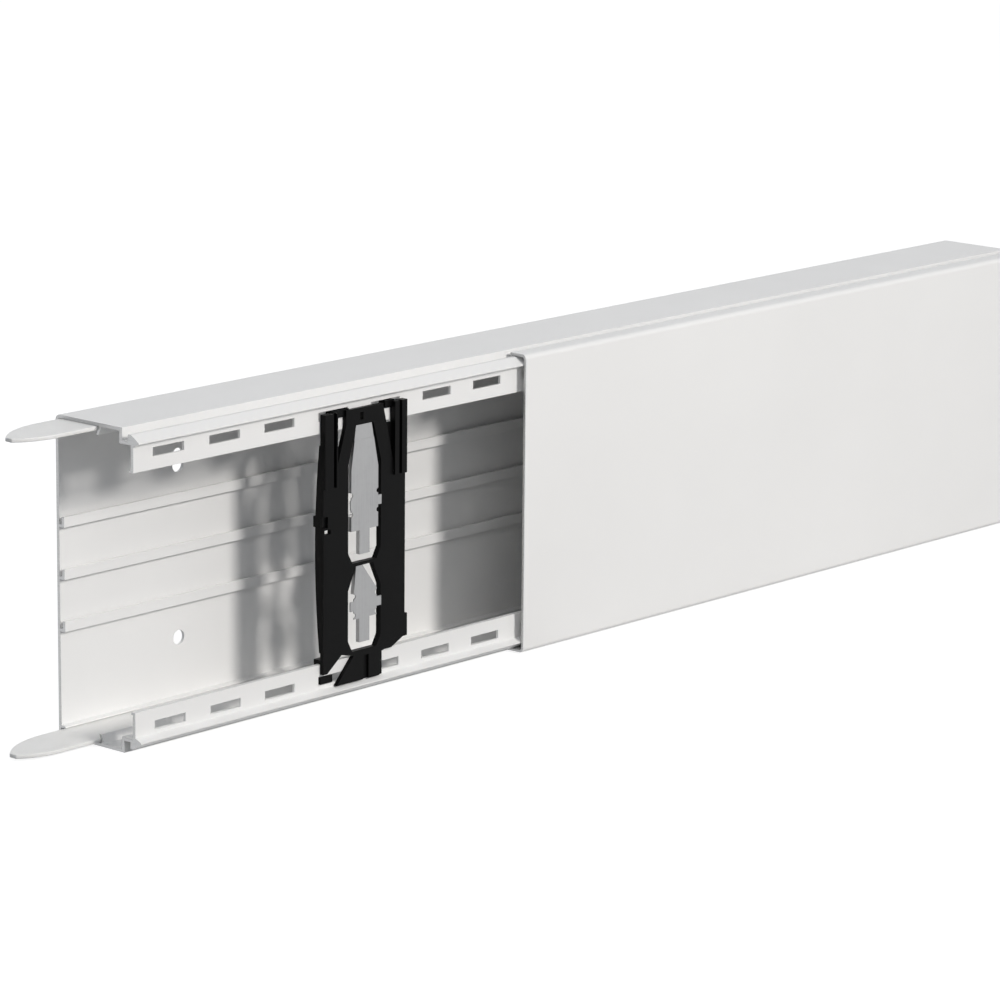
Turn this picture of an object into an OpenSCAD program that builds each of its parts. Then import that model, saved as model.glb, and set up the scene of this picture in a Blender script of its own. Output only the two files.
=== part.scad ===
// Wall trunking: slotted base channel, clip-on cover, two coupling tongues
// and a retaining clip with steel contact springs. Millimetres, +Z up.
// X runs along the trunking, the wall side faces +Y and the cover faces -Y.
// Sections are drawn as depth from the wall (u) against height (z).

/* [Base channel] */
// Length of the base channel
base_l = 750; // [400:10:2000]
// Height of the trunking, the side that shows on the wall
base_h = 170; // [150:1:230]
// Depth of the plain top and bottom walls, wall to cover rebate
base_d = 49; // [44:0.5:70]
// Wall thickness of the base extrusion
base_t = 1.8; // [1.4:0.1:2.4]
// Outside radius of the two corners at the wall
corner_r = 3; // [2.5:0.1:5]
// Drop from the top wall to the shelf that the cover clips over
rebate_h = 6.5; // [6:0.1:9]
// Width of the groove that takes the cover's hook
groove_w = 4.5; // [4:0.1:6]
// Width of the flat on top of the snap bead
bead_flat = 2; // [1:0.1:3]
// Blunt height of the nose
nose_h = 0.7; // [0.4:0.1:1.2]

/* [Slotted lips] */
// Set-back of the slotted lip behind the front of the cover
lip_setback = 6; // [5.6:0.1:8]
// Thickness of the slotted lip
lip_t = 1.6; // [1.2:0.1:2]
// Height of the slotted lip below the shelf
lip_h = 16; // [14:0.5:22]
// Depth of the small return on the lip's free edge
return_d = 1.2; // [0.8:0.1:2]
// Height of the small return on the lip's free edge
return_h = 1.5; // [1:0.1:2.5]
// Spacing of the slots along the lip
slot_pitch = 40; // [36:1:60]
// Length of one slot
slot_l = 22; // [18:0.5:26]
// Height of one slot
slot_h = 4.8; // [4.2:0.1:6]
// Height of the slot's centre above the lip's free edge
slot_rise = 9; // [7:0.1:12]
// Distance from the base's left end to the first slot
slot_first = 14; // [8:1:20]

/* [Back wall] */
// Number of hooked ribs on the back wall
rib_n = 3; // [1:1:4]
// Spacing of the hooked ribs
rib_pitch = 27.6; // [24:0.2:36]
// Reach of a rib from the wall's back face
rib_reach = 5.4; // [4.5:0.1:7]
// Thickness of a rib's ledge and of its upturned edge
rib_t = 1.6; // [1.2:0.1:2]
// Height of a rib with its upturned edge
rib_h = 5.5; // [4.5:0.1:7]
// Diameter of the wall screw holes
hole_d = 8; // [5:0.5:9]
// Length of the vertical slot holes above them
hole_slot_l = 13; // [11:0.5:18]
// Height of the round holes below and of the slot holes above mid-height
hole_offset = 48; // [44:1:56]
// Distance from each end of the base to its pair of holes
hole_end = 85; // [60:1:110]

/* [Cover] */
// Depth of the cover, from the base's plain walls to its front face
cover_d = 14; // [13:0.5:24]
// Length of the cover
cover_l = 460; // [200:10:700]
// Wall thickness of the cover
cover_t = 1.6; // [1.2:0.1:2]
// Drop of the cover's edge below the top wall
cover_drop = 1; // [0.6:0.1:2]
// Outside radius of the cover's front edges
cover_r = 2.8; // [2.4:0.1:6]
// Thickness of the hook along the flange's back edge
hook_t = 1.6; // [1.4:0.1:3]
// Height of the hook below the flange
hook_h = 2.2; // [1.6:0.1:2.6]

/* [Coupling tongues] */
// Length of a tongue inside the base
tongue_in = 50; // [30:1:90]
// Length of a tongue past the base's left end
tongue_out = 51; // [40:1:80]
// Thickness of a tongue
tongue_t = 2.2; // [1.6:0.1:3]
// Width of a tongue
tongue_w = 27.8; // [24:0.2:32]
// Length of the long curve on the tip's wall side
tip_back_l = 35; // [25:1:38]
// Depth that the long curve takes off the tip
tip_back_d = 15; // [8:0.5:16]
// Length of the short curve on the tip's front side
tip_front_l = 23; // [15:1:34]
// Depth that the short curve takes off the tip
tip_front_d = 8; // [3:0.5:8]
// Height of the rails that hold a tongue, from the outer face
rail_h = 6.4; // [6.1:0.1:8]
// Thickness of the rails and ledges
rail_t = 1.6; // [1.2:0.1:2]
// Width that a rail leans over its tongue
rail_lean_w = 2.2; // [1:0.1:3]
// Depth of the ledge on the back wall
ledge_d = 3; // [2:0.1:4]

/* [Retaining clip] */
// Slot, counted from 0 at the left end, that takes the clip's left hooks
clip_slot = 3; // [1:1:4]
// Distance from that slot's end to the clip's left side
clip_start = 1.1; // [0.5:0.1:2]
// Distance from the next slot's end to the clip's right side
clip_over = 1.8; // [1:0.1:3]
// Distance from the upper slots' top edge down to the clip's top
clip_drop = 1.1; // [0.5:0.1:2]
// Thickness of the clip's frame
body_t = 2.5; // [2:0.1:2.8]
// Width of the left grooved column
column_left_w = 9.6; // [8:0.1:11]
// Width of the right grooved column
column_right_w = 9.4; // [7:0.1:11]
// Height of the grooved columns
column_h = 40; // [32:0.5:44]
// Width of the groove down a column's front
groove_slot_w = 2.2; // [1.6:0.1:2.6]
// Depth of the groove down a column's front
groove_slot_d = 1.8; // [1:0.1:2]
// Land between the groove and the column's inner edge
groove_land = 1; // [0.8:0.1:1.5]
// Height of the slits between the columns and the leaning struts
slit_h = 32; // [24:0.5:34]
// Thickness of the web that closes the right slit below the lip
web_t = 1; // [0.8:0.1:1.5]
// Width of the upper bar between the columns
head_w = 28.4; // [26:0.2:30]
// Height of the upper bar
head_h = 9; // [7:0.1:12]
// Width of the hole in the upper bar
head_hole_w = 2.4; // [1.5:0.1:3]
// Height of the hole in the upper bar
head_hole_h = 4.1; // [2:0.1:5]
// Offset of that hole to the left of the openings' middle
head_hole_shift = 2.3; // [0:0.1:4]
// Width of the spring openings
window_w = 25; // [24:0.2:26]
// Width of an opening at its top
neck_w = 13.2; // [12:0.2:15]
// Width of an opening at its foot
window_foot_w = 18.4; // [14:0.2:20]
// Height of the cut corners at the foot of an opening
window_foot_h = 6; // [4:0.1:8]
// Height of the taper at the top of the upper opening
upper_taper_h = 21; // [12:0.5:22]
// Height of the taper at the top of the lower opening
lower_taper_h = 12.8; // [10:0.2:14]
// Height of the lower opening
lower_window_h = 46.4; // [42:0.2:50]
// Height of the bar between the two openings
bar_h = 1.8; // [1.6:0.1:4]
// Height of the sill under the lower opening
sill_h = 3.5; // [2.5:0.1:5]
// Thickness of the rim behind the edge of an opening
rim_t = 1.2; // [0.8:0.1:1.5]
// Depth of that rim behind the frame
rim_d = 0.9; // [0.5:0.1:2.8]
// Height of the cut corner at the lower right
corner_cut = 4.5; // [2:0.1:6]
// Height of the stepped front at the lower right
toe_h = 5; // [3:0.1:7]
// Depth of that step
toe_d = 1.2; // [0.6:0.1:1.6]
// Width of the lower left leg at its tip
leg_w = 3; // [2:0.1:5]
// Height of the leg's tip above the lower slot
leg_rise = 1.3; // [0.8:0.1:2]
// Width of the leg under the slanting gap beside it
leg_run = 14; // [11:0.2:16]
// Height of the slanting gap's top above the frame's lower edge
gap_rise = 3.2; // [1.5:0.1:4]
// Width of the foot in front of the lower lip
foot_w = 23; // [18:0.2:26]
// Offset of the foot to the right of the clip's middle
foot_shift = 3.4; // [2:0.1:6]
// Width that the strut on the foot's left slants
strut_run = 13; // [9:0.2:15]
// Width of the groove down the foot's front
foot_groove_w = 4.2; // [1.6:0.1:5]
// Width of the stepped right edge of the foot
foot_edge_w = 3; // [2:0.1:4]
// Width of the hooks beside the right column and behind the foot
hook_w = 5; // [3:0.1:6]
// Width of the grip that reaches round the lower lip into its left slot
grip_w = 9.2; // [6:0.1:12]
// Depth of the bowed side walls behind the frame, at mid-height
bow_d = 3.8; // [2:0.1:4.2]
// Thickness of the side walls
side_t = 1.8; // [1.4:0.1:2.4]
// Height of the latch pocket and tab above mid-height
latch_rise = 11.8; // [4:0.1:20]
// Height of the latch pocket and tab
latch_h = 6; // [4:0.1:8]
// Width of the latch pocket
latch_w = 3.4; // [2.4:0.1:5]
// Depth of the latch tab behind the frame
latch_d = 5.1; // [4.5:0.1:6]
// Height of the core hole under the latch pocket
core_hole_h = 2.4; // [1.4:0.1:3]
// Width of the core hole
core_hole_w = 4.6; // [2:0.1:6]
// Height of the lug on the right side
lug_h = 13; // [8:0.5:16]
// Reach of the lug past the right side
lug_d = 2; // [0.6:0.1:2.4]
// Width of the stop that sits on the lower lip's edge
stop_w = 3.6; // [2.4:0.1:5]
// Height of that stop and of the grip's upper bar
stop_h = 2.2; // [1.6:0.1:3]

/* [Contact springs] */
// Thickness of the steel contact springs
spring_t = 0.6; // [0.4:0.1:1]
// Width of the upper spring's left half, without its ear
upper_left_w = 10.2; // [9.5:0.1:10.4]
// Width of the upper spring's right half, without its ear
upper_right_w = 10.4; // [9.5:0.1:11]
// Width of the lower spring's left half, without its ear
lower_left_w = 8; // [7:0.1:9.4]
// Width of the lower spring's right half, without its ear
lower_right_w = 9.4; // [8.5:0.1:10.5]
// Height of the taper at the top of the upper spring
upper_point_h = 24; // [22:0.5:26]
// Height of the taper at the top of the lower spring
lower_point_h = 14; // [14:0.2:18]
// Width of a spring's top edge before its right is cut
spring_top_w = 13; // [10:0.1:13]
// Width cut off the right of the upper spring's top edge
upper_cut_w = 1.1; // [0:0.1:3]
// Width cut off the right of the lower spring's top edge
lower_cut_w = 8; // [0:0.1:9]
// Height of the upper spring's creased top
crease_h = 8; // [5:0.5:10]
// Depth that the creased top lies behind the front
crease_d = 0.2; // [0.1:0.05:0.3]
// Height of a spring's ears
ear_h = 5.2; // [3:0.1:6]
// Width of the right ears' seats in the frame
ear_seat_w = 0.5; // [0.4:0.1:1]
// Reach of the left ears from the openings' middle
ear_left_w = 10.8; // [10.6:0.1:11.5]
// Height of the upper spring's ears above its body's lower edge
ear_upper_rise = 11.8; // [8:0.2:16]
// Height of the lower spring's ears above its body's lower edge
ear_lower_rise = 4.6; // [4.4:0.1:6]
// Radius of the scallops above and below an ear
scallop_r = 1.3; // [0.8:0.1:1.4]
// Length of a spring's tongue
spring_tongue_h = 13.2; // [8:0.1:13.5]
// Width of a spring's tongue
spring_tongue_w = 7.8; // [6:0.1:10]
// Room under the tip of a spring's tongue
tongue_room = 4.2; // [3:0.1:6]

/* [Fits] */
// Clearance of the sliding cover on the base
slide_gap = 0.3; // [0.2:0.05:0.6]
// Clearance of the tongues in their rails
rail_gap = 0.3; // [0.2:0.05:0.5]
// Clearance between a tongue and the wall that it lies on
seat_gap = 0.1; // [0.05:0.05:0.3]
// Clearance of the clip on the lips, and of its springs
clip_gap = 0.1; // [0.05:0.05:0.3]
// Clearance of the clip's hooks in the slots
hook_gap = 0.4; // [0.2:0.05:0.6]
// Clearance between the clip's columns and the cover
column_gap = 0.4; // [0.3:0.05:0.6]

/* [Hidden] */
$fn = 64;
// A little extra length for cuts that pass right through a wall
cut = 1;

// The whole part, tongues included, is centred on the origin in plan
left_x = (tongue_out - base_l) / 2;
front_u = base_d + cover_d;
back_y = front_u / 2;
mid_z = base_h / 2;

// Upper edge of the base, lower edge by symmetry
shelf_z = base_h - rebate_h;
shelf_under = shelf_z - base_t;
cover_in = front_u - cover_t;
flange_under = base_h - cover_drop - cover_t;
bead_u = base_d + groove_w;
bead_z = flange_under - slide_gap;
nose_u = cover_in - slide_gap;
lip_u = front_u - lip_setback;
lip_back = lip_u - lip_t;
lip_end = shelf_under - lip_h + base_t;
slot_z = lip_end + slot_rise;
slot_n = floor((base_l - slot_first - slot_l) / slot_pitch) + 1;

// Tongues and the rails that hold them
tongue_u = corner_r + rail_gap;
tongue_z = base_t + seat_gap;
tongue_top = tongue_z + tongue_t;
ledge_z = tongue_top + rail_gap;
rail_u = tongue_u + tongue_w + rail_lean_w * (tongue_top - base_t) / (rail_h - base_t) + rail_gap;

// Clip: its left edge, its width and the heights of its members
clip_x = left_x + slot_first + clip_slot * slot_pitch + clip_start;
clip_w = slot_pitch + slot_l - clip_start + clip_over;
clip_u = lip_u + clip_gap;
body_front = clip_u + body_t;
body_mid = clip_u + body_t / 2;
clip_front = cover_in - column_gap;
clip_top = slot_z + slot_h / 2 - clip_drop;
body_top = clip_top - column_h;
body_end = base_h - lip_end;
head_z = clip_top - head_h;
sill_z = body_end + sill_h;
bar_z = sill_z + lower_window_h;
latch_z = mid_z + latch_rise;
low_slot_z = base_h - slot_z;
leg_end = low_slot_z + slot_h / 2 + leg_rise;
clip_foot = base_h - shelf_under + nose_h + slide_gap;
opening_mid = clip_w / 2;
foot_mid = clip_w / 2 + foot_shift;
foot_left = foot_mid - foot_w / 2;
foot_right = foot_mid + foot_w / 2;
column_right = clip_w - column_right_w;
slit_z = clip_top - slit_h;

// Contact springs: their seat in the frame and the heights of their tops
spring_u = body_front - spring_t;
ear_right_w = window_w / 2 + ear_seat_w;
spring_upper_top = head_z - clip_gap;
spring_lower_top = bar_z - clip_gap;
upper_body_z = bar_z + bar_h + tongue_room + spring_tongue_h;
lower_body_z = sill_z + tongue_room + spring_tongue_h;

// Along-X extrusion of a section that is drawn as depth u against height z
module along_x(from, len) {
    translate([from, back_y, 0])
        rotate([90, 0, 90])
            linear_extrude(len)
                mirror([1, 0])
                    children();
}

// Extrusion through the depth from u0 to u1 of a shape drawn as X against z
module through_u(u0, u1) {
    translate([0, back_y - u0, 0])
        rotate([90, 0, 0])
            linear_extrude(u1 - u0)
                children();
}

// The upper edge's members and their mirror image about mid-height
module above_and_below() {
    children();
    translate([0, 0, base_h])
        mirror([0, 0, 1])
            children();
}

// A rectangle from one corner to the other
module span(u0, z0, u1, z1) {
    translate([u0, z0])
        square([u1 - u0, z1 - z0]);
}

// A rectangle whose corners at the wall side are round
module round_back(u0, z0, u1, z1, r) {
    span(u0 + r, z0, u1, z1);
    span(u0, z0 + r, u1, z1 - r);
    for (z = [z0 + r, z1 - r])
        translate([u0 + r, z])
            circle(r);
}

// A rectangle whose corners at the front are round
module round_front(u0, z0, u1, z1, r) {
    span(u0, z0, u1 - r, z1);
    span(u0, z0 + r, u1, z1 - r);
    for (z = [z0 + r, z1 - r])
        translate([u1 - r, z])
            circle(r);
}

// Riser, shelf, snap bead, nose and slotted lip along the upper edge
module rebate_section() {
    polygon([
        [base_d - base_t, shelf_under],
        [base_d - base_t, base_h],
        [base_d, base_h],
        [base_d, shelf_z],
        [bead_u, shelf_z],
        [bead_u, bead_z],
        [bead_u + bead_flat, bead_z],
        [nose_u, shelf_z],
        [nose_u, shelf_z - nose_h],
        [lip_u, shelf_under - nose_h],
        [lip_u, lip_end],
        [lip_back - return_d, lip_end],
        [lip_back - return_d, lip_end + return_h],
        [lip_back, lip_end + return_h],
        [lip_back, shelf_under]
    ]);
}

// Ledge on the back wall that keeps the upper tongue against the top wall
module ledge_section() {
    polygon([
        [base_t / 2, base_h - ledge_z],
        [base_t + ledge_d, base_h - ledge_z],
        [base_t + ledge_d, base_h - ledge_z - rail_t / 2],
        [base_t / 2, base_h - ledge_z - rail_t]
    ]);
}

// Leaning rail along the front edge of the upper tongue
module rail_section() {
    polygon([
        [rail_u, base_h - base_t / 2],
        [rail_u + rail_t, base_h - base_t / 2],
        [rail_u + rail_t - rail_lean_w, base_h - rail_h],
        [rail_u - rail_lean_w, base_h - rail_h]
    ]);
}

// One hooked rib, its ledge at height z
module rib_section(z) {
    polygon([
        [base_t / 2, z],
        [rib_reach, z],
        [rib_reach, z + rib_h],
        [rib_reach - rib_t, z + rib_h],
        [rib_reach - rib_t, z + rib_t],
        [base_t / 2, z + rib_t]
    ]);
}

// Back wall with the top and bottom walls
module shell_section() {
    difference() {
        round_back(0, 0, base_d, base_h, corner_r);
        round_back(base_t, base_t, base_d + cut, base_h - base_t, corner_r - base_t);
    }
}

module lip_slots() {
    for (i = [0 : slot_n - 1])
        translate([left_x + slot_first + i * slot_pitch, back_y - lip_u - cut, slot_z - slot_h / 2])
            cube([slot_l, lip_t + 2 * cut, slot_h]);
}

// Round hole below and vertical slot hole above, one pair near each end
module wall_holes() {
    straight = (hole_slot_l - hole_d) / 2;
    for (x = [left_x + hole_end, left_x + base_l - hole_end])
        translate([x, back_y + cut, mid_z])
            rotate([90, 0, 0]) {
                translate([0, -hole_offset, 0])
                    cylinder(d = hole_d, h = base_t + 2 * cut);
                for (end = [-1, 1])
                    translate([0, hole_offset + end * straight, 0])
                        cylinder(d = hole_d, h = base_t + 2 * cut);
                translate([-hole_d / 2, hole_offset - straight, 0])
                    cube([hole_d, 2 * straight, base_t + 2 * cut]);
            }
}

module base_profile() {
    color("whitesmoke")
        difference() {
            union() {
                along_x(left_x, base_l)
                    shell_section();
                above_and_below() {
                    along_x(left_x, base_l)
                        rebate_section();
                    along_x(left_x, base_l)
                        ledge_section();
                    along_x(left_x, base_l)
                        rail_section();
                }
                for (i = [0 : rib_n - 1])
                    along_x(left_x, base_l)
                        rib_section(mid_z - rib_t + (i - (rib_n - 1) / 2) * rib_pitch);
            }
            above_and_below()
                lip_slots();
            wall_holes();
        }
}

// Front plate with rounded edges, two flanges and a hook along each flange
module cover_section() {
    hook_u = bead_u - slide_gap;
    hook_end = flange_under - hook_h;
    difference() {
        round_front(hook_u - hook_t, cover_drop, front_u, base_h - cover_drop, cover_r);
        round_front(hook_u, base_h - flange_under, cover_in, flange_under, cover_r - cover_t);
        span(hook_u - hook_t - cut, base_h - hook_end, hook_u + cut, hook_end);
    }
}

module cover_profile() {
    color("white")
        along_x(left_x + base_l - cover_l, cover_l)
            cover_section();
}

// What an arc of length l and depth d takes off the tip, from its start inwards
module tip_cut(l, d) {
    r = (l * l + d * d) / (2 * d);
    difference() {
        translate([-cut, -cut])
            square([l + cut, r + cut]);
        translate([l, r])
            circle(r, $fn = 180);
    }
}

// Lower coupling tongue, with its curved blunt tip past the base's left end
module coupling_lower() {
    color("ivory")
        translate([left_x - tongue_out, back_y - tongue_u, tongue_z])
            linear_extrude(tongue_t)
                mirror([0, 1])
                    difference() {
                        square([tongue_out + tongue_in, tongue_w]);
                        tip_cut(tip_back_l, tip_back_d);
                        translate([0, tongue_w])
                            mirror([0, 1])
                                tip_cut(tip_front_l, tip_front_d);
                    }
}

module coupling_upper() {
    translate([0, 0, base_h])
        mirror([0, 0, 1])
            coupling_lower();
}

// Extrusion through the clip's depth of a shape drawn from its left edge
module clip_layer(u0, u1) {
    translate([clip_x, 0, 0])
        through_u(u0, u1)
            children();
}

// One spring opening between two heights, tapered at its top and grown by a margin
module window(z0, z1, taper_h, margin) {
    half = window_w / 2 + margin;
    neck = neck_w / 2 + margin;
    foot = window_foot_w / 2 + margin / 2;
    translate([opening_mid, 0])
        polygon([
            [-neck, z1 + margin],
            [neck, z1 + margin],
            [half, z1 - taper_h],
            [half, z0 + window_foot_h],
            [foot, z0 - margin],
            [-foot, z0 - margin],
            [-half, z0 + window_foot_h],
            [-half, z1 - taper_h]
        ]);
}

// Front view of the clip's frame, columns, leaning struts and head
module clip_outline() {
    head_left = opening_mid - head_w / 2;
    head_right = opening_mid + head_w / 2;
    difference() {
        span(0, body_end, clip_w, clip_top);
        polygon([
            [column_left_w, slit_z],
            [column_left_w, clip_top + cut],
            [head_left, clip_top + cut],
            [head_left, head_z + cut]
        ]);
        polygon([
            [column_right, slit_z],
            [column_right, clip_top + cut],
            [head_right, clip_top + cut],
            [head_right, clip_top - cut]
        ]);
        polygon([
            [clip_w - 2 * corner_cut, body_end - cut],
            [clip_w - 2 * corner_cut, body_end],
            [clip_w, body_end + corner_cut],
            [clip_w + cut, body_end - cut]
        ]);
        window(sill_z, bar_z, lower_taper_h, 0);
        window(bar_z + bar_h, head_z, upper_taper_h, 0);
    }
}

// Foot in front of the lower lip, with a slanting strut on its left
module foot_outline() {
    polygon([
        [foot_left, body_end + cut],
        [foot_right, body_end + cut],
        [foot_right, clip_foot],
        [foot_left - strut_run, clip_foot]
    ]);
}

// Slanting gap between the lower left leg and the foot's strut
module leg_gap() {
    polygon([
        [leg_w, leg_end - cut],
        [leg_w, leg_end],
        [leg_run, body_end + gap_rise],
        [foot_left, body_end + cut],
        [foot_left - strut_run, clip_foot],
        [foot_left - strut_run, clip_foot - cut]
    ]);
}

// Grooves down the columns, each near its column's inner edge
module column_grooves() {
    left = column_left_w - groove_land - groove_slot_w;
    right = column_right + groove_land + groove_slot_w;
    for (start = [left, right])
        span(start, body_top, start + groove_slot_w, clip_top + cut);
}

// Rim behind an opening's edge, clear of the two lips
module window_rim(z0, z1, taper_h) {
    clip_layer(clip_u - rim_d, body_mid)
        intersection() {
            difference() {
                window(z0, z1, taper_h, rim_t);
                window(z0, z1, taper_h, 0);
            }
            span(0, body_end + cut, clip_w, lip_end - cut);
        }
}

// Pocket of the side latch, core hole under it, hole in the head, steps in the foot
module front_cuts() {
    clip_layer(clip_u + web_t, clip_front + cut)
        span(-cut, latch_z, latch_w, latch_z + latch_h);
    clip_layer(clip_u - cut, clip_front + cut)
        span(side_t / 2, latch_z - 1.5 * core_hole_h, side_t / 2 + core_hole_w, latch_z - core_hole_h / 2);
    clip_layer(clip_u - cut, clip_front + cut)
        translate([opening_mid - head_hole_shift, head_z + head_h / 2])
            square([head_hole_w, head_hole_h], center = true);
    clip_layer(body_mid, clip_front + cut)
        span(foot_mid - foot_groove_w, clip_foot - cut, foot_mid, body_end);
    clip_layer(body_mid, clip_front + cut)
        span(foot_right - foot_edge_w, clip_foot - cut, foot_right + cut, body_end);
    clip_layer(body_front - toe_d, clip_front + cut)
        span(foot_right, body_end - cut, clip_w + lug_d + cut, body_end + toe_h);
}

// Side wall from a to a + side_t whose back edge bows towards the wall
module side_wall(a) {
    chord = lip_end - body_end;
    radius = (chord * chord / 4 + bow_d * bow_d) / (2 * bow_d);
    end = corner_cut + side_t;
    along_x(clip_x + a, side_t)
        intersection() {
            translate([clip_u - bow_d + radius, mid_z])
                circle(radius, $fn = 360);
            span(clip_u - 2 * bow_d, body_end + end, body_mid, lip_end - end);
        }
}

// Hook from the frame through an upper slot, with a barb behind the lip
module slot_hook(a0, a1) {
    z0 = slot_z - slot_h / 2 + hook_gap;
    z1 = slot_z + slot_h / 2 - hook_gap;
    barb_u = lip_back - hook_gap;
    along_x(clip_x + a0, a1 - a0)
        polygon([
            [body_mid, z0],
            [barb_u - lip_t, z0],
            [barb_u - lip_t, z1],
            [barb_u, z1 + 2 * hook_gap],
            [barb_u, z1],
            [body_mid, z1]
        ]);
}

// Grip over the lower lip's edge, down behind it and forward through its slot
module lip_grip(a0, a1) {
    z0 = low_slot_z - slot_h / 2 + hook_gap;
    z1 = low_slot_z + slot_h / 2 - hook_gap;
    top = body_end + clip_gap;
    tail_u = lip_back - return_d - hook_gap;
    along_x(clip_x + a0, a1 - a0)
        polygon([
            [body_mid, top],
            [tail_u, top],
            [tail_u, z1],
            [lip_u, z1],
            [lip_u, z0],
            [tail_u - side_t, z0],
            [tail_u - side_t, top + stop_h],
            [body_mid, top + stop_h]
        ]);
}

// Tab behind the latch, lug on the right and stop on the lower lip
module side_lugs() {
    along_x(clip_x, side_t)
        span(clip_u - latch_d, latch_z, body_mid, latch_z + latch_h);
    clip_layer(clip_u, body_front)
        span(clip_w - side_t, body_end + corner_cut, clip_w + lug_d, body_end + corner_cut + lug_h);
    along_x(clip_x + clip_w - 2 * corner_cut - stop_w, stop_w)
        span(lip_back, body_end + clip_gap, body_mid, body_end + clip_gap + stop_h);
}

module retaining_clip() {
    color("black") {
        difference() {
            union() {
                clip_layer(clip_u, body_front)
                    clip_outline();
                clip_layer(clip_u, body_front)
                    span(0, leg_end, leg_run, body_end + cut);
                clip_layer(clip_u, body_front)
                    foot_outline();
                for (a = [0, column_right])
                    clip_layer(clip_u, clip_front)
                        span(a, body_top, a == 0 ? column_left_w : clip_w, clip_top);
                side_lugs();
            }
            clip_layer(clip_u - cut, clip_front + cut)
                leg_gap();
            clip_layer(clip_front - groove_slot_d, clip_front + cut)
                column_grooves();
            clip_layer(spring_u - clip_gap, clip_front + cut) {
                ear_seat(upper_body_z + ear_upper_rise);
                ear_seat(lower_body_z + ear_lower_rise);
            }
            front_cuts();
        }
        clip_layer(clip_u, clip_u + web_t)
            span(opening_mid + head_w / 2, slit_z, column_right + web_t, lip_end - cut);
        window_rim(sill_z, bar_z, lower_taper_h);
        window_rim(bar_z + bar_h, head_z, upper_taper_h);
        for (a = [0, clip_w - side_t])
            side_wall(a);
        slot_hook(column_left_w - side_t, slot_l - clip_start - hook_gap);
        slot_hook(column_right - hook_w, column_right + side_t);
        lip_grip(hook_gap, hook_gap + grip_w);
        translate([0, 0, base_h])
            mirror([0, 0, 1])
                slot_hook(foot_right - hook_w, foot_right);
    }
}

// Seat of a spring's right ear from height z upwards, with its clearance
module ear_seat(z) {
    translate([opening_mid, z])
        span(0, -clip_gap, ear_right_w + clip_gap, ear_h + clip_gap);
}

// Wall of sheet thickness along the edge from p to q, on the left of its way
module edge_wall(p, q) {
    way = (q - p) / norm(q - p);
    inward = [-way[1], way[0]] * spring_t;
    polygon([p, q, q + inward, p + inward]);
}

// Flanges behind a spring's edges, each from one point to the next
module spring_flanges(body_z, edges) {
    for (edge = edges)
        clip_layer(clip_u, body_front)
            translate([opening_mid, body_z])
                edge_wall(edge[0], edge[1]);
}

// Pressed plate between its body's lower edge and its top: tapered top with
// some width cut off its right, ears, scallops and a narrow tongue, with
// flanges that stiffen the taper, the left side and the tongue
module contact_spring(body_z, top, point_h, ear_rise, left, right, right_cut) {
    h = top - body_z;
    top_left = -spring_top_w / 2;
    top_right = spring_top_w / 2 - right_cut;
    neck = spring_tongue_w / 2;
    ear_top = ear_rise + ear_h;
    notch = ear_top + 3 * scallop_r;
    shoulder = max(h - point_h, notch + spring_t);
    clip_layer(spring_u, body_front)
        translate([opening_mid, body_z])
            difference() {
                polygon([
                    [top_left, h],
                    [-left, shoulder],
                    [-left, ear_top],
                    [-ear_left_w, ear_top],
                    [-ear_left_w, ear_rise],
                    [-left, ear_rise],
                    [-left, 0],
                    [-neck, 0],
                    [-neck, -spring_tongue_h],
                    [neck, -spring_tongue_h],
                    [neck, 0],
                    [right, 0],
                    [right, ear_rise],
                    [ear_right_w, ear_rise],
                    [ear_right_w, ear_top],
                    [right, ear_top],
                    [right, shoulder],
                    [top_right, h]
                ]);
                for (x = [-left, right])
                    for (z = [ear_rise - 2 * scallop_r, ear_top + 2 * scallop_r])
                        translate([x, z])
                            circle(scallop_r);
            }
    spring_flanges(body_z, [
        [[top_left, h], [-left, shoulder]],
        [[right, shoulder], [top_right, h]],
        [[-left, shoulder], [-left, notch]],
        [[-neck, 0], [-neck, -spring_tongue_h]],
        [[neck, -spring_tongue_h], [neck, 0]]
    ]);
}

// Upper spring, with more flanges down its body and a creased top
module contact_spring_upper() {
    left = upper_left_w;
    right = upper_right_w;
    h = spring_upper_top - upper_body_z;
    notch = 3 * scallop_r;
    color("silver")
        difference() {
            union() {
                contact_spring(upper_body_z, spring_upper_top, upper_point_h, ear_upper_rise,
                    left, right, upper_cut_w);
                spring_flanges(upper_body_z, [
                    [[right, ear_upper_rise + ear_h + notch], [right, h - upper_point_h]],
                    [[-left, ear_upper_rise - notch], [-left, 0]],
                    [[right, 0], [right, ear_upper_rise - notch]]
                ]);
            }
            clip_layer(body_front - crease_d, body_front + cut)
                span(0, spring_upper_top - crease_h, clip_w, spring_upper_top + cut);
        }
}

module contact_spring_lower() {
    color("silver")
        contact_spring(lower_body_z, spring_lower_top, lower_point_h, ear_lower_rise,
            lower_left_w, lower_right_w, lower_cut_w);
}

base_profile();
cover_profile();
coupling_upper();
coupling_lower();
retaining_clip();
contact_spring_upper();
contact_spring_lower();
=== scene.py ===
"""Looks of the wall trunking: coat, plastics, steel, softened edges, studio and camera."""

import math

import bmesh
import bpy
from mathutils import Matrix, Vector


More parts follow.
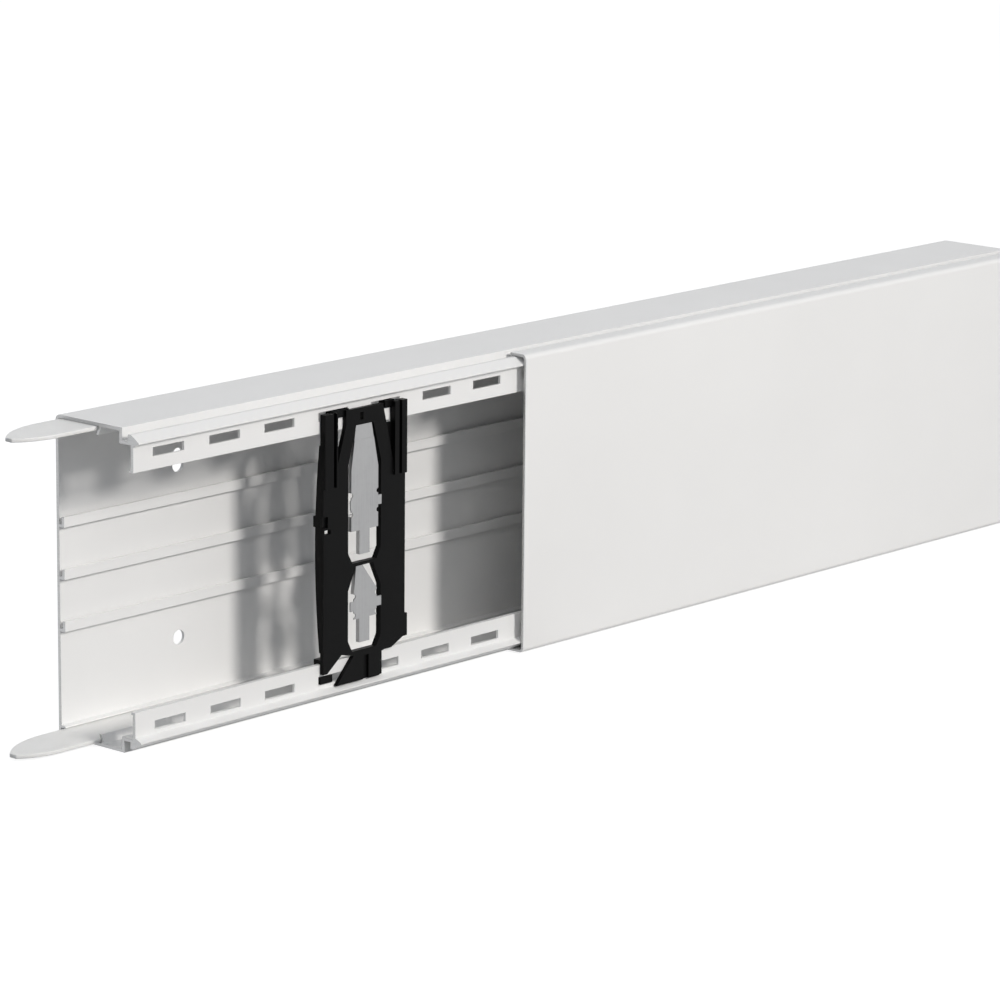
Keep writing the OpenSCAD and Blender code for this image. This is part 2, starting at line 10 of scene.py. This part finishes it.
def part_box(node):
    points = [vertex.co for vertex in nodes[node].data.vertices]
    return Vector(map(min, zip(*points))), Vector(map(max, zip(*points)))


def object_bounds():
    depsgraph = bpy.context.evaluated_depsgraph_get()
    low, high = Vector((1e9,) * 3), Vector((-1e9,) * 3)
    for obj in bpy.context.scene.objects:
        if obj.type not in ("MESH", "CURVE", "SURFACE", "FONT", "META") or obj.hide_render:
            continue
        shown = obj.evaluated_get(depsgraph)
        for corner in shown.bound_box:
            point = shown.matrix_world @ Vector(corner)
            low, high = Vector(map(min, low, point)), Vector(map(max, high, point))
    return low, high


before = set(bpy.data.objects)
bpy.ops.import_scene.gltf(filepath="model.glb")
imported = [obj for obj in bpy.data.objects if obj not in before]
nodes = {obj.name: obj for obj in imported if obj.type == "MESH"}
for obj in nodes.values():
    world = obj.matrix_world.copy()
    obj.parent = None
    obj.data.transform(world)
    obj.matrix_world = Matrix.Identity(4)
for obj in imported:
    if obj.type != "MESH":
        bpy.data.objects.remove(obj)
cad_low, cad_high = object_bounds()
MM = 0.001


# Colours of the finishes, in linear red, green and blue

COAT_WHITE = (0.885, 0.885, 0.88)
BASE_SHADE = (0.85, 0.85, 0.845)
COVER_SHADE = (0.855, 0.855, 0.85)
SAWN_DARK = (0.36, 0.365, 0.37)
SAWN_BRIGHT = (0.52, 0.525, 0.53)
TONGUE_SHADE = (0.84, 0.84, 0.825)
TONGUE_WHITE = (0.9, 0.9, 0.885)
CLIP_DEEP = (0.0018, 0.0019, 0.002)
CLIP_BLACK = (0.0032, 0.0033, 0.0035)
STEEL_DARK = (0.27, 0.272, 0.277)
STEEL_BRIGHT = (0.42, 0.422, 0.427)
STEEL_CLOUD = (0.37, 0.372, 0.376)

# Roughness of the finishes, from their glossiest to their dullest patches

COAT_ROUGH = (0.36, 0.44)
TONGUE_ROUGH = (0.34, 0.5)
CLIP_ROUGH = (0.32, 0.44)
STEEL_ROUGH = (0.32, 0.46)

# Relief of the coat: how much of it is grain and how much is drawn lines

COAT_GRAIN = 0.8
COAT_LINES = 0.5

# Depth of the end face that counts as sawn

SAWN_SKIN = 0.25 * MM

# Softened edges: their widths, and what counts as joined, flat and sharp

EXTRUSION_EDGE = 0.25 * MM
TONGUE_EDGE = 0.5 * MM
CLIP_EDGE = 0.4 * MM
SPRING_EDGE = 0.12 * MM
EDGE_STEPS = 2
JOINED_WITHIN = 0.002 * MM
FLAT_WITHIN = math.radians(0.5)
SHARP_FROM = math.radians(30)
FLAT_WEIGHT = 80

# Camera: its place in metres, and in degrees its turn from +Y, its dip and the rise of its right side

CAMERA_PLACE = Vector((-1.98921, -1.74935, 0.67108))
CAMERA_TURN = 48.0266
CAMERA_DIP = 12.7211
CAMERA_ROLL = 0.5274

# Lens: focal length in widths of the picture, sensor width in millimetres and how far it sees in metres

FOCAL_WIDTHS = 4.8225
SENSOR = 36.0
FAR_END = 100.0

# Lamps: degrees to the right of the front, degrees up, width and height in metres, watts

LAMPS = {
    "key": (4, 27, 0.6, 0.8, 64.0),
    "fill_left": (-40, 40, 2.0, 2.0, 12.0),
    "back": (180, 24, 2.0, 2.0, 22.0),
}
LAMP_REACH = 3.2
LAMP_COLOUR = (1.0, 0.968, 0.93)

# Light from all round, a little cooler than the lamps

AMBIENT = 0.285
AMBIENT_COLOUR = (0.84, 0.905, 1.0)

# Floor: the tone that lights the part by bounce, and the glow that shows it white

FLOOR_TONE = 0.36
FLOOR_GLOW = 0.88
FLOOR_ROUGH = 0.9
FLOOR_HALF_SIDE = 12.0
FLOOR_GAP = 0.1 * MM

# Ranges that values are mapped between

UNIT = (0.0, 1.0)
NOISE_MIDDLE = (0.3, 0.7)

# Sizes of the gloss patches against the clouds, and of the saw marks

PATCHES_PER_CLOUD = 6.0
SAW_MARK_SCALE = 2200.0

# Stretches that turn an even noise into streaks

STREAKS_ALONG_X = (0.004, 1, 1)
STREAKS_ALONG_Y = (1, 0.05, 1)
STREAKS_ALONG_Z = (1, 1, 0.02)


# Shader node helpers

class Tree:
    """A node tree with short calls for the nodes that the finishes use."""

    def __init__(self, tree):
        self.tree = tree

    def add(self, kind, **settings):
        node = self.tree.nodes.new(kind)
        for key, value in settings.items():
            setattr(node, key, value)
        return node

    def link(self, source, target):
        self.tree.links.new(source, target)

    def feed(self, node, values):
        """Sets or links each named or numbered input of a node."""
        for key, value in values.items():
            if isinstance(value, bpy.types.NodeSocket):
                self.link(value, node.inputs[key])
            else:
                node.inputs[key].default_value = value
        return node

    def calculate(self, operation, a, b):
        node = self.add("ShaderNodeMath", operation=operation)
        return self.feed(node, {0: a, 1: b}).outputs[0]

    def remap(self, value, source, target):
        """Maps a value from one range to another, and clamps it there."""
        node = self.add("ShaderNodeMapRange", clamp=True)
        labels = ("Value", "From Min", "From Max", "To Min", "To Max")
        return self.feed(node, dict(zip(labels, (value, *source, *target)))).outputs["Result"]

    def object_point(self, stretch=(1, 1, 1)):
        """Object coordinates, stretched along the axes."""
        point = self.add("ShaderNodeTexCoord").outputs["Object"]
        return self.feed(self.add("ShaderNodeMapping"), {"Vector": point, "Scale": stretch}).outputs[0]

    def noise(self, point, scale, detail, roughness):
        values = {"Vector": point, "Scale": scale, "Detail": detail, "Roughness": roughness}
        return self.feed(self.add("ShaderNodeTexNoise"), values).outputs["Fac"]

    def blend(self, factor, first, second):
        """Colour between two others, each a linear red, green and blue or a socket."""
        node = self.add("ShaderNodeMix", data_type="RGBA")
        sockets = {socket.identifier: socket for socket in node.inputs}
        self.link(factor, sockets["Factor_Float"])
        for label, colour in (("A_Color", first), ("B_Color", second)):
            if isinstance(colour, bpy.types.NodeSocket):
                self.link(colour, sockets[label])
            else:
                sockets[label].default_value = (*colour, 1)
        return next(socket for socket in node.outputs if socket.identifier == "Result_Color")

    def bump(self, height, strength, depth):
        values = {"Height": height, "Strength": strength, "Distance": depth}
        return self.feed(self.add("ShaderNodeBump"), values).outputs["Normal"]

    def group(self, shared, values):
        """Places a shared effect with its own values."""
        node = self.add("ShaderNodeGroup", node_tree=shared.tree)
        return self.feed(node, values).outputs


def new_group(name, inputs, outputs):
    """An empty shader node group with named number inputs and outputs."""
    group = bpy.data.node_groups.new(name, "ShaderNodeTree")
    for label in inputs:
        group.interface.new_socket(label, in_out="INPUT", socket_type="NodeSocketFloat")
    for label in outputs:
        group.interface.new_socket(label, in_out="OUTPUT", socket_type="NodeSocketFloat")
    tree = Tree(group)
    tree.inputs = tree.add("NodeGroupInput").outputs
    tree.outputs = tree.add("NodeGroupOutput").inputs
    return tree


# Shared surface effects

def make_surface_tone():
    """Broad soft clouds, smaller patches of gloss and a fine even grain."""
    t = new_group("surface_tone", ("Cloud Scale", "Grain Scale"), ("Cloud", "Gloss", "Grain"))
    point = t.object_point()
    patch_scale = t.calculate("MULTIPLY", t.inputs["Cloud Scale"], PATCHES_PER_CLOUD)
    cloud = t.noise(point, t.inputs["Cloud Scale"], detail=3.0, roughness=0.55)
    gloss = t.noise(point, patch_scale, detail=4.0, roughness=0.6)
    grain = t.noise(point, t.inputs["Grain Scale"], detail=2.0, roughness=0.5)
    t.link(t.remap(cloud, NOISE_MIDDLE, UNIT), t.outputs["Cloud"])
    t.link(t.remap(gloss, NOISE_MIDDLE, UNIT), t.outputs["Gloss"])
    t.link(grain, t.outputs["Grain"])
    return t


def make_drawn_lines():
    """Fine lines left by drawing or rolling, along X, or along Z where Upright is 1."""
    t = new_group("drawn_lines", ("Line Scale", "Upright"), ("Lines",))
    lying = t.noise(t.object_point(STREAKS_ALONG_X), t.inputs["Line Scale"], detail=2.0, roughness=0.6)
    upright = t.noise(t.object_point(STREAKS_ALONG_Z), t.inputs["Line Scale"], detail=2.0, roughness=0.6)
    flat_share = t.calculate("SUBTRACT", 1.0, t.inputs["Upright"])
    lying_part = t.calculate("MULTIPLY", lying, flat_share)
    upright_part = t.calculate("MULTIPLY", upright, t.inputs["Upright"])
    t.link(t.calculate("ADD", lying_part, upright_part), t.outputs["Lines"])
    return t


def make_sawn_ends():
    """Mask of the two sawn ends of a length that lies along X, and its saw marks."""
    t = new_group("sawn_ends", ("Left", "Right", "Skin"), ("Bare", "Marks"))
    x = t.feed(t.add("ShaderNodeSeparateXYZ"), {0: t.object_point()}).outputs["X"]
    left_skin = t.calculate("ADD", t.inputs["Left"], t.inputs["Skin"])
    right_skin = t.calculate("SUBTRACT", t.inputs["Right"], t.inputs["Skin"])
    left = t.calculate("LESS_THAN", x, left_skin)
    right = t.calculate("GREATER_THAN", x, right_skin)
    t.link(t.calculate("MAXIMUM", left, right), t.outputs["Bare"])
    marks = t.noise(t.object_point(STREAKS_ALONG_Y), SAW_MARK_SCALE, detail=2.0, roughness=0.6)
    t.link(marks, t.outputs["Marks"])
    return t


surface_tone = make_surface_tone()
drawn_lines = make_drawn_lines()
sawn_ends = make_sawn_ends()


# Finishes

def new_finish(name):
    """A material with its Principled shader, ready for its own values."""
    material = bpy.data.materials.new(name)
    material.use_nodes = True
    tree = Tree(material.node_tree)
    shader = next(n for n in material.node_tree.nodes if n.type == "BSDF_PRINCIPLED")
    return material, tree, shader


def white_coat(name, node, shade):
    """Satin white powder coat on drawn aluminium, bare metal on its sawn ends."""
    material, t, shader = new_finish(name)
    low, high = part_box(node)
    tone = t.group(surface_tone, {"Cloud Scale": 7.0, "Grain Scale": 950.0})
    lines = t.group(drawn_lines, {"Line Scale": 420.0, "Upright": 0.0})
    ends = t.group(sawn_ends, {"Left": low.x, "Right": high.x, "Skin": SAWN_SKIN})
    coat = t.blend(tone["Cloud"], shade, COAT_WHITE)
    metal = t.blend(ends["Marks"], SAWN_DARK, SAWN_BRIGHT)
    grain_relief = t.calculate("MULTIPLY", tone["Grain"], COAT_GRAIN)
    line_relief = t.calculate("MULTIPLY", lines["Lines"], COAT_LINES)
    relief = t.calculate("ADD", grain_relief, line_relief)
    t.feed(shader, {
        "Base Color": t.blend(ends["Bare"], coat, metal),
        "Metallic": ends["Bare"],
        "Roughness": t.remap(tone["Gloss"], UNIT, COAT_ROUGH),
        "IOR": 1.5,
        "Normal": t.bump(relief, strength=0.12, depth=0.05 * MM),
    })
    return material


def natural_plastic():
    """Unpigmented moulded plastic, milky and a little translucent."""
    material, t, shader = new_finish("natural_plastic")
    tone = t.group(surface_tone, {"Cloud Scale": 40.0, "Grain Scale": 1600.0})
    t.feed(shader, {
        "Base Color": t.blend(tone["Cloud"], TONGUE_SHADE, TONGUE_WHITE),
        "Roughness": t.remap(tone["Gloss"], UNIT, TONGUE_ROUGH),
        "IOR": 1.53,
        "Subsurface Weight": 0.35,
        "Subsurface Radius": (1.0, 0.98, 0.9),
        "Subsurface Scale": 2.5 * MM,
        "Normal": t.bump(tone["Grain"], strength=0.1, depth=0.04 * MM),
    })
    return material


def black_plastic():
    """Black moulded plastic with a fine eroded grain and a dull sheen."""
    material, t, shader = new_finish("black_plastic")
    tone = t.group(surface_tone, {"Cloud Scale": 30.0, "Grain Scale": 2600.0})
    t.feed(shader, {
        "Base Color": t.blend(tone["Cloud"], CLIP_DEEP, CLIP_BLACK),
        "Roughness": t.remap(tone["Gloss"], UNIT, CLIP_ROUGH),
        "IOR": 1.5,
        "Specular IOR Level": 0.07,
        "Normal": t.bump(tone["Grain"], strength=0.35, depth=0.05 * MM),
    })
    return material


def spring_steel():
    """Matt bright strip steel with upright rolling lines."""
    material, t, shader = new_finish("spring_steel")
    tone = t.group(surface_tone, {"Cloud Scale": 60.0, "Grain Scale": 1800.0})
    lines = t.group(drawn_lines, {"Line Scale": 1500.0, "Upright": 1.0})
    lined = t.blend(lines["Lines"], STEEL_DARK, STEEL_BRIGHT)
    t.feed(shader, {
        "Base Color": t.blend(tone["Cloud"], lined, STEEL_CLOUD),
        "Metallic": 1.0,
        "Roughness": t.remap(tone["Gloss"], UNIT, STEEL_ROUGH),
        "Anisotropic": 0.35,
        "Normal": t.bump(lines["Lines"], strength=0.2, depth=0.02 * MM),
    })
    return material


# Pieces and their edges

def soften_edges(piece, width):
    """Joins the loose triangles, rounds the sharp edges and keeps the flats flat."""
    weld = piece.modifiers.new("weld", "WELD")
    weld.merge_threshold = JOINED_WITHIN
    flats = piece.modifiers.new("whole_flats", "DECIMATE")
    flats.decimate_type = "DISSOLVE"
    flats.angle_limit = FLAT_WITHIN
    bevel = piece.modifiers.new("soft_edges", "BEVEL")
    bevel.width = width
    bevel.segments = EDGE_STEPS
    bevel.limit_method = "ANGLE"
    bevel.angle_limit = SHARP_FROM
    bevel.use_clamp_overlap = True
    even = piece.modifiers.new("even_normals", "WEIGHTED_NORMAL")
    even.keep_sharp = False
    even.weight = FLAT_WEIGHT


def dress_pieces():
    """Gives each piece its finish and its softened edges."""
    tongue_plastic = natural_plastic()
    steel = spring_steel()
    dressing = {
        "base_profile": (white_coat("white_coat", "base_profile", BASE_SHADE), EXTRUSION_EDGE),
        "cover_profile": (white_coat("cover_coat", "cover_profile", COVER_SHADE), EXTRUSION_EDGE),
        "coupling_upper": (tongue_plastic, TONGUE_EDGE),
        "coupling_lower": (tongue_plastic, TONGUE_EDGE),
        "retaining_clip": (black_plastic(), CLIP_EDGE),
        "contact_spring_upper": (steel, SPRING_EDGE),
        "contact_spring_lower": (steel, SPRING_EDGE),
    }
    for name, (finish, edge_width) in dressing.items():
        piece = nodes[name]
        piece.data.materials.clear()
        piece.data.materials.append(finish)
        soften_edges(piece, edge_width)


# Studio

def seen_directly(tree):
    """1 for rays from the camera, or by way of a mirror or glass; otherwise 0."""
    path = tree.add("ShaderNodeLightPath").outputs
    mirrored = tree.calculate("MAXIMUM", path["Is Glossy Ray"], path["Is Transmission Ray"])
    return tree.calculate("MAXIMUM", path["Is Camera Ray"], mirrored)


def make_world():
    """A white room that lights the part faintly from all round."""
    world = bpy.data.worlds.new("white_room")
    world.use_nodes = True
    t = Tree(world.node_tree)
    background = next(n for n in world.node_tree.nodes if n.type == "BACKGROUND")
    seen = seen_directly(t)
    t.feed(background, {
        "Color": t.blend(seen, AMBIENT_COLOUR, (1, 1, 1)),
        "Strength": t.remap(seen, UNIT, (AMBIENT, 1.0)),
    })
    bpy.context.scene.world = world


def make_floor():
    """A plain floor just under the part."""
    bm = bmesh.new()
    bmesh.ops.create_grid(bm, x_segments=1, y_segments=1, size=FLOOR_HALF_SIDE)
    bmesh.ops.translate(bm, verts=bm.verts, vec=(0, 0, cad_low.z - FLOOR_GAP))
    mesh = bpy.data.meshes.new("floor")
    bm.to_mesh(mesh)
    bm.free()
    floor = bpy.data.objects.new("floor", mesh)
    bpy.context.scene.collection.objects.link(floor)
    material, t, shader = new_finish("floor_white")
    t.feed(shader, {
        "Base Color": (FLOOR_TONE, FLOOR_TONE, FLOOR_TONE, 1),
        "Roughness": FLOOR_ROUGH,
        "Specular IOR Level": 0.0,
        "Emission Color": (1, 1, 1, 1),
        "Emission Strength": t.calculate("MULTIPLY", seen_directly(t), FLOOR_GLOW),
    })
    mesh.materials.append(material)


def make_lamp(name, side, height, wide, tall, watts):
    """A soft box that looks at the part's middle."""
    lamp = bpy.data.lights.new(name, "AREA")
    lamp.shape = "ELLIPSE"
    lamp.size = wide
    lamp.size_y = tall
    lamp.energy = watts
    lamp.color = LAMP_COLOUR
    holder = bpy.data.objects.new(name, lamp)
    bpy.context.scene.collection.objects.link(holder)
    turn = math.radians(side)
    rise = math.radians(height)
    away = Vector((math.sin(turn) * math.cos(rise), -math.cos(turn) * math.cos(rise), math.sin(rise)))
    holder.location = (cad_low + cad_high) / 2 + away * LAMP_REACH
    holder.rotation_mode = "QUATERNION"
    holder.rotation_quaternion = (-away).to_track_quat("-Z", "Y")


def make_camera():
    """The camera, turned from +Y to the right, then dipped, then rolled."""
    lens = bpy.data.cameras.new("camera")
    lens.sensor_width = SENSOR
    lens.lens = FOCAL_WIDTHS * SENSOR
    lens.clip_end = FAR_END
    camera = bpy.data.objects.new("camera", lens)
    bpy.context.scene.collection.objects.link(camera)
    turn = Matrix.Rotation(math.radians(-CAMERA_TURN), 4, "Z")
    tip = Matrix.Rotation(math.radians(90 - CAMERA_DIP), 4, "X")
    roll = Matrix.Rotation(math.radians(CAMERA_ROLL), 4, "Z")
    camera.matrix_world = Matrix.Translation(CAMERA_PLACE) @ turn @ tip @ roll
    bpy.context.scene.camera = camera


dress_pieces()
make_world()
make_floor()
for name, values in LAMPS.items():
    make_lamp(name, *values)
make_camera()
bpy.context.scene.view_settings.view_transform = "Standard"
